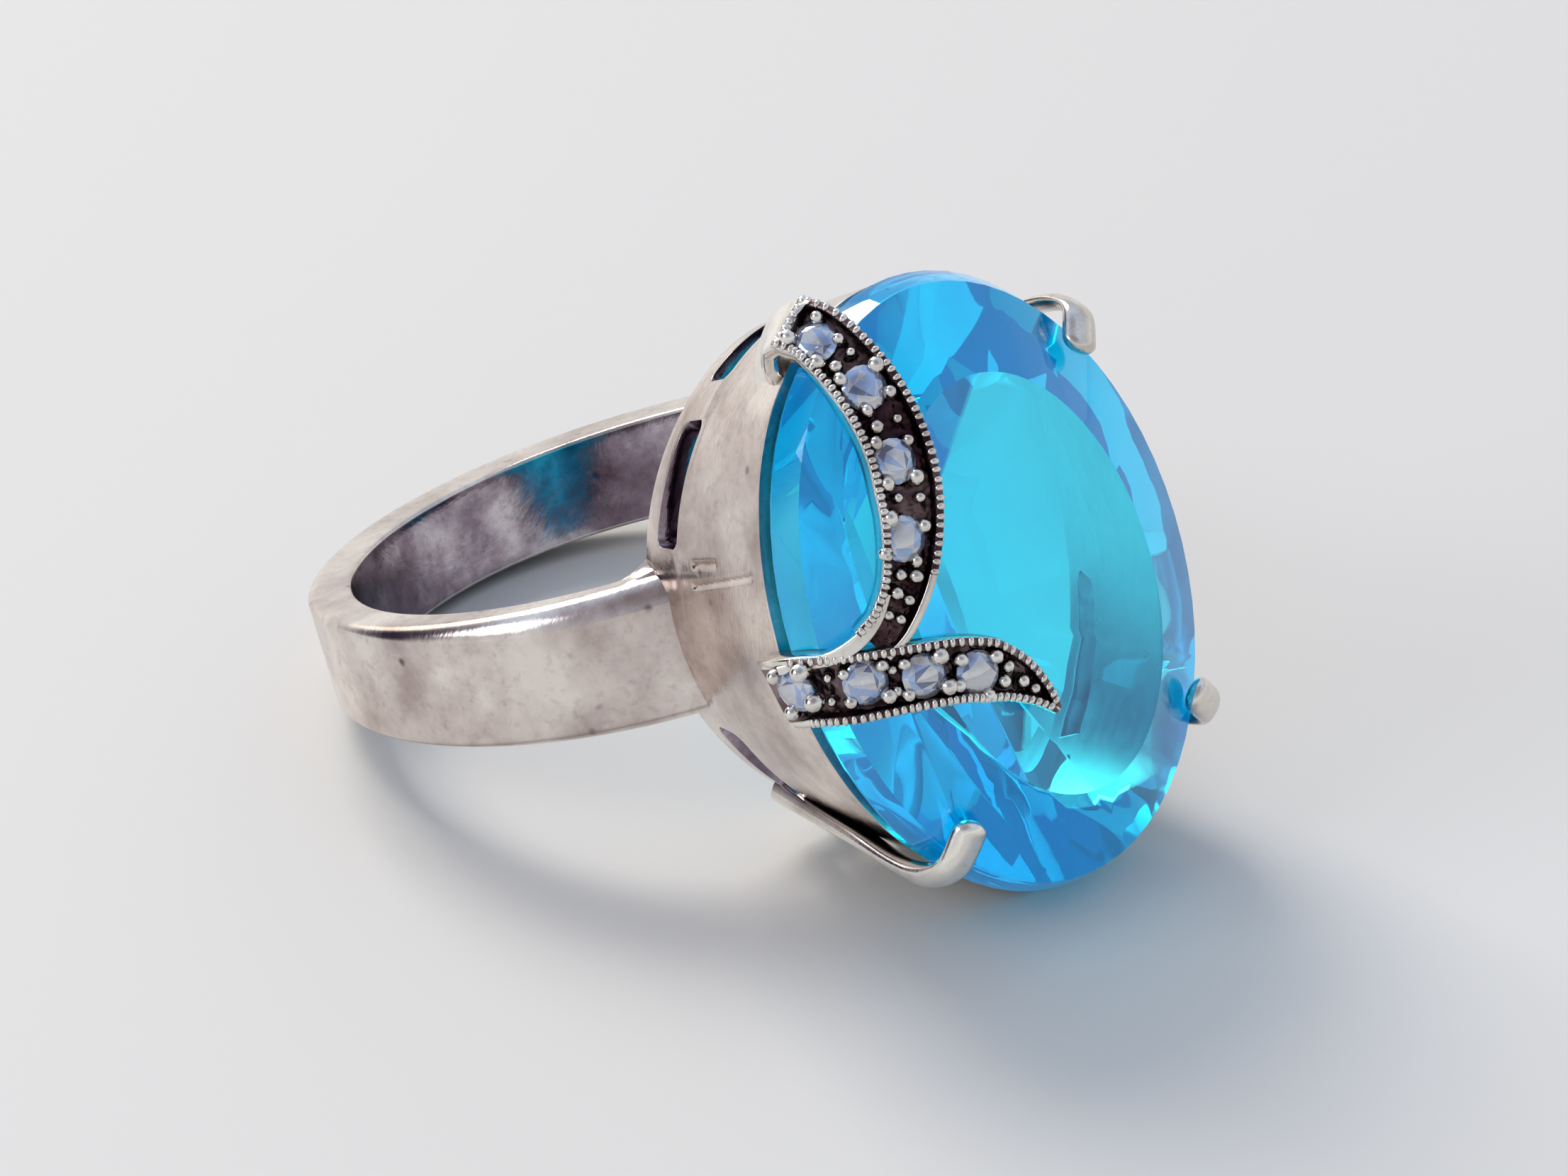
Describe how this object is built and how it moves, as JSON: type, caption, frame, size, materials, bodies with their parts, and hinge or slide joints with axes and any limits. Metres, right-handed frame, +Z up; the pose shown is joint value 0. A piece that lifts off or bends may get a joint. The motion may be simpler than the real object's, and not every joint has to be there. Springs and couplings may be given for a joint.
{
  "type": "cocktail ring",
  "caption": "Finger ring with a large oval faceted stone in a pierced oval gallery, claws, and two curved milgrain leaves set with small round stones.",
  "frame": {"origin": "centre of the bounding box's bottom face: the surface that the ring lies on", "axes": "+Z up off that surface, -Y the way the stone faces, +X across the ring; the finger axis leans back from +Z"},
  "size_m": [0.0198, 0.0292, 0.0181],
  "materials": {
    "silver": "polished silver, lightly scratched and tarnished",
    "oxidised_silver": "silver with a dark oxidised floor and bright milgrain edge",
    "blue_stone": "transparent blue, polished facets",
    "white_stone": "colourless, polished facets"
  },
  "bodies": {
    "root": {"shank": "silver", "gallery": "silver", "claw_lower_left": "silver", "claw_lower_right": "silver", "claw_upper_right": "silver", "upper_leaf_strap": "silver", "upper_leaf": "oxidised_silver", "lower_leaf": "oxidised_silver", "centre_stone": "blue_stone", "accent_stone_1": "white_stone", "accent_stone_2": "white_stone", "accent_stone_3": "white_stone", "accent_stone_4": "white_stone", "accent_stone_5": "white_stone", "accent_stone_6": "white_stone", "accent_stone_7": "white_stone", "accent_stone_8": "white_stone"}
  },
  "joints": []
}
